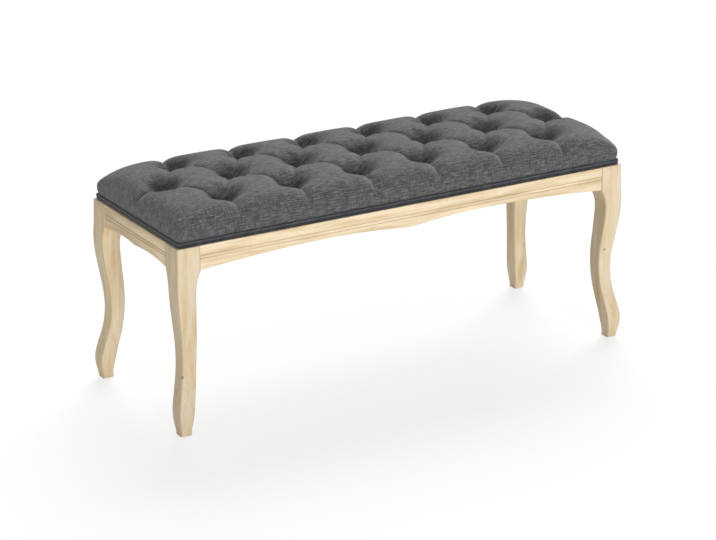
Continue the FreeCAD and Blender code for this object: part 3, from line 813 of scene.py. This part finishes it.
def wood(name, along, tones, offset, feature=None):
    """Wood with broad streaks, fine pores along the grain and a white wash.

    A leg also has arrises darker towards the pore tone, and knots, and an apron has painted shade in its
    incised lines.
    """
    pale, streak, pore = tones
    material, tree, shader = new_material(name, pale, wood_roughness)
    place = add_node(tree, "TexCoord", {}).outputs["Object"]
    bend = add_node(tree, "TexNoise", {"Vector": place, "Scale": bend_scale, "Detail": bend_detail})
    push = add_node(tree, "VectorMath", {0: bend.outputs["Color"], 1: bend_reach}, operation="MULTIPLY")
    bent = add_node(tree, "VectorMath", {0: place, 1: push.outputs[0]}, operation="ADD").outputs[0]

    def grain(where, scales, detail, shift=offset):
        wide, long = scales
        scale = tuple(long if axis == along else wide for axis in "XYZ")
        return stretched_noise(tree, where, scale, detail, shift)

    broad = grain(bent, broad_scale, streak_detail)
    lines = grain(bent, line_scale, streak_detail)
    pores = grain(place, pore_scale, pore_detail)
    wash = grain(place, wash_scale, wash_detail, (*offset[1:], offset[0]))
    colour = mixed(tree, spread(tree, broad, *broad_run), pale, streak)
    colour = mixed(tree, product(tree, spread(tree, lines, *line_run), line_share), colour, streak)
    dots = product(tree, spread(tree, pores, *pore_run), pore_share)
    colour = mixed(tree, dots, colour, pore)
    whitened = product(tree, spread(tree, wash, *wash_run), wash_share)
    colour = mixed(tree, whitened, colour, tuple(wash_lift * tone for tone in pale))
    if feature == "leg":
        # Arrises darker towards the pore tone, then the knots
        colour = add_knots(tree, place, mixed(tree, darkened_arrises(tree), colour, pore), pore)
    if feature == "apron":
        # Painted shade in the apron's incised lines
        colour = mixed(tree, painted_groove_shade(tree, place, along), colour, pore)
    tree.links.new(colour, shader.inputs["Base Color"])
    relief = math_node(tree, "SUBTRACT", product(tree, lines, grain_share), dots)
    add_bump(tree, shader, relief, *wood_bump)
    shader.inputs["Specular IOR Level"].default_value = wood_gloss
    return material


def speckled(name, colour, roughness, metallic=0.0, scale=500.0, contrast=0.15):
    """A plain finish with a fine speckle and relief."""
    material, tree, shader = new_material(name, colour, roughness, metallic)
    place = add_node(tree, "TexCoord", {}).outputs["Object"]
    grains = stretched_noise(tree, place, (scale,) * 3, speckle_detail)
    darker = tuple(tone * (1 - contrast) for tone in colour)
    lighter = tuple(min(1.0, tone * (1 + contrast)) for tone in colour)
    shade = mixed(tree, spread(tree, grains, *speckle_run), darker, lighter)
    tree.links.new(shade, shader.inputs["Base Color"])
    add_bump(tree, shader, grains, *speckle_bump)
    return material


def dress(names, material):
    for name in names:
        nodes[name].data.materials.clear()
        nodes[name].data.materials.append(material)


def soften_arrises(names):
    """Real edges are never quite sharp, so they catch the light."""
    for name in names:
        nodes[name].data.shade_smooth()
        weld = nodes[name].modifiers.new("weld", "WELD")
        weld.merge_threshold = merge_distance
        bevel = nodes[name].modifiers.new("arrises", "BEVEL")
        bevel.width = arris_bevel
        bevel.segments = 2
        bevel.limit_method = "ANGLE"
        bevel.angle_limit = bevel_angle
        bevel.harden_normals = True


# The bench

cover = tufted_cover()
welt = piping()
band = edge_band()
buttons = covered_buttons()
dust = dust_sheet()

grey = linen("grey_linen", grey_tones)
cover.data.materials.append(grey)
buttons.data.materials.append(grey)
welt.data.materials.append(linen("piped_linen", piping_tones, welt_radius * math.pi / 2))
band.data.materials.append(linen("dark_linen", dark_tones))
dust.data.materials.append(speckled("dust_cloth", dust_tone, roughness=0.95, scale=900.0, contrast=0.4))

corners = [f"{end}_{side}" for end in ("front", "back") for side in ("left", "right")]
leg_names = [f"{corner}_leg" for corner in corners]
block_names = [f"{corner}_corner_block" for corner in corners]
long_aprons = ["front_apron", "back_apron"]
short_aprons = ["left_apron", "right_apron"]
plain_names = block_names + ["centre_rail", "apron_dowels", "rail_dowels"]
steel_names = ["leg_bolts", "leg_washers", "leg_nuts", "block_screws", "seat_screws"]
steel_names += ["twine_staples", "band_staples", "dust_cover_staples"]

leg_wood = wood("leg_wood", "Z", leg_tones, offset=(2, 5, 1), feature="leg")
long_wood = wood("long_apron_wood", "X", apron_tones, offset=(7, 3, 4), feature="apron")
short_wood = wood("short_apron_wood", "Y", apron_tones, offset=(1, 9, 6), feature="apron")
steel = speckled("zinc_steel", zinc_tone, roughness=0.34, metallic=1.0, scale=300.0, contrast=0.08)
twine = speckled("twine", twine_tone, roughness=0.85, scale=1500.0, contrast=0.25)
dress(leg_names, leg_wood)
dress(long_aprons, long_wood)
dress(short_aprons, short_wood)
dress(plain_names, wood("plain_wood", "X", plain_tones, offset=(4, 4, 8)))
dress(["seat_board"], wood("plywood", "X", plywood_tones, offset=(6, 2, 2)))
dress(steel_names, steel)
dress(["foot_glides"], speckled("glide_plastic", glide_tone, roughness=0.5))
dress(["tuft_twines"], twine)
soften_arrises(leg_names + long_aprons + short_aprons + block_names + ["centre_rail"])


# Stage, light and camera

def stage_material():
    """White with a faint shadow where it is seen, and a plain pale surface for the light."""
    material = bpy.data.materials.new("stage_white")
    material.use_nodes = True
    tree = material.node_tree
    tree.nodes.clear()
    output = tree.nodes.new("ShaderNodeOutputMaterial")
    lit = add_node(tree, "BsdfDiffuse", {"Color": (floor_tone, floor_tone, floor_tone, 1)})
    seen_lit = add_node(tree, "BsdfDiffuse", {"Color": (1, 1, 1, 1)})
    glow = add_node(tree, "Emission", {"Color": (1, 1, 1, 1), "Strength": 1.0})
    seen = add_node(tree, "MixShader", {0: floor_glow, 1: seen_lit.outputs[0], 2: glow.outputs[0]})
    chosen = add_node(tree, "MixShader", {0: seen_directly(tree), 1: lit.outputs[0], 2: seen.outputs[0]})
    tree.links.new(chosen.outputs[0], output.inputs["Surface"])
    return material


def seen_directly(tree):
    """1 for what is seen straight, mirrored or through glass, 0 for what only gives light."""
    path = add_node(tree, "LightPath", {})
    shown = math_node(tree, "MAXIMUM", path.outputs["Is Camera Ray"], path.outputs["Is Glossy Ray"])
    return math_node(tree, "MAXIMUM", shown, path.outputs["Is Transmission Ray"])


def make_floor():
    side = floor_half_side
    low = cad_low.z - floor_gap
    corners = [(-side, -side, low), (side, -side, low), (side, side, low), (-side, side, low)]
    floor = make_mesh("floor", corners, [(0, 1, 2, 3)])
    floor.data.materials.append(stage_material())


def light_world():
    world = bpy.data.worlds.new("studio")
    bpy.context.scene.world = world
    world.use_nodes = True
    tree = world.node_tree
    background = tree.nodes["Background"]
    background.inputs["Color"].default_value = (1, 1, 1, 1)
    ends = {"Value": seen_directly(tree), "To Min": sky_strength, "To Max": backdrop_white}
    brightness = add_node(tree, "MapRange", ends)
    tree.links.new(brightness.outputs["Result"], background.inputs["Strength"])


def direction(azimuth, elevation):
    """From the bench towards a light or a camera; azimuth 0 is in front."""
    level = math.cos(elevation)
    return Vector((math.sin(azimuth) * level, -math.cos(azimuth) * level, math.sin(elevation)))


def place_light(name, azimuth, elevation, strength, angle):
    lamp = bpy.data.lights.new(name, "SUN")
    lamp.energy = strength
    lamp.angle = angle
    holder = bpy.data.objects.new(name, lamp)
    bpy.context.scene.collection.objects.link(holder)
    holder.rotation_euler = direction(azimuth, elevation).to_track_quat("Z", "Y").to_euler()


def place_camera():
    data = bpy.data.cameras.new("photo_camera")
    data.lens = camera_lens
    data.sensor_width = camera_sensor
    camera = bpy.data.objects.new("photo_camera", data)
    bpy.context.scene.collection.objects.link(camera)
    back = direction(camera_azimuth, camera_elevation)
    camera.location = camera_target + back * camera_distance
    camera.rotation_euler = back.to_track_quat("Z", "Y").to_euler()
    bpy.context.scene.camera = camera


make_floor()
light_world()
place_light("soft_front_light", *front_light)
place_light("soft_top_light", *top_light)
place_camera()
bpy.context.scene.view_settings.view_transform = "Standard"
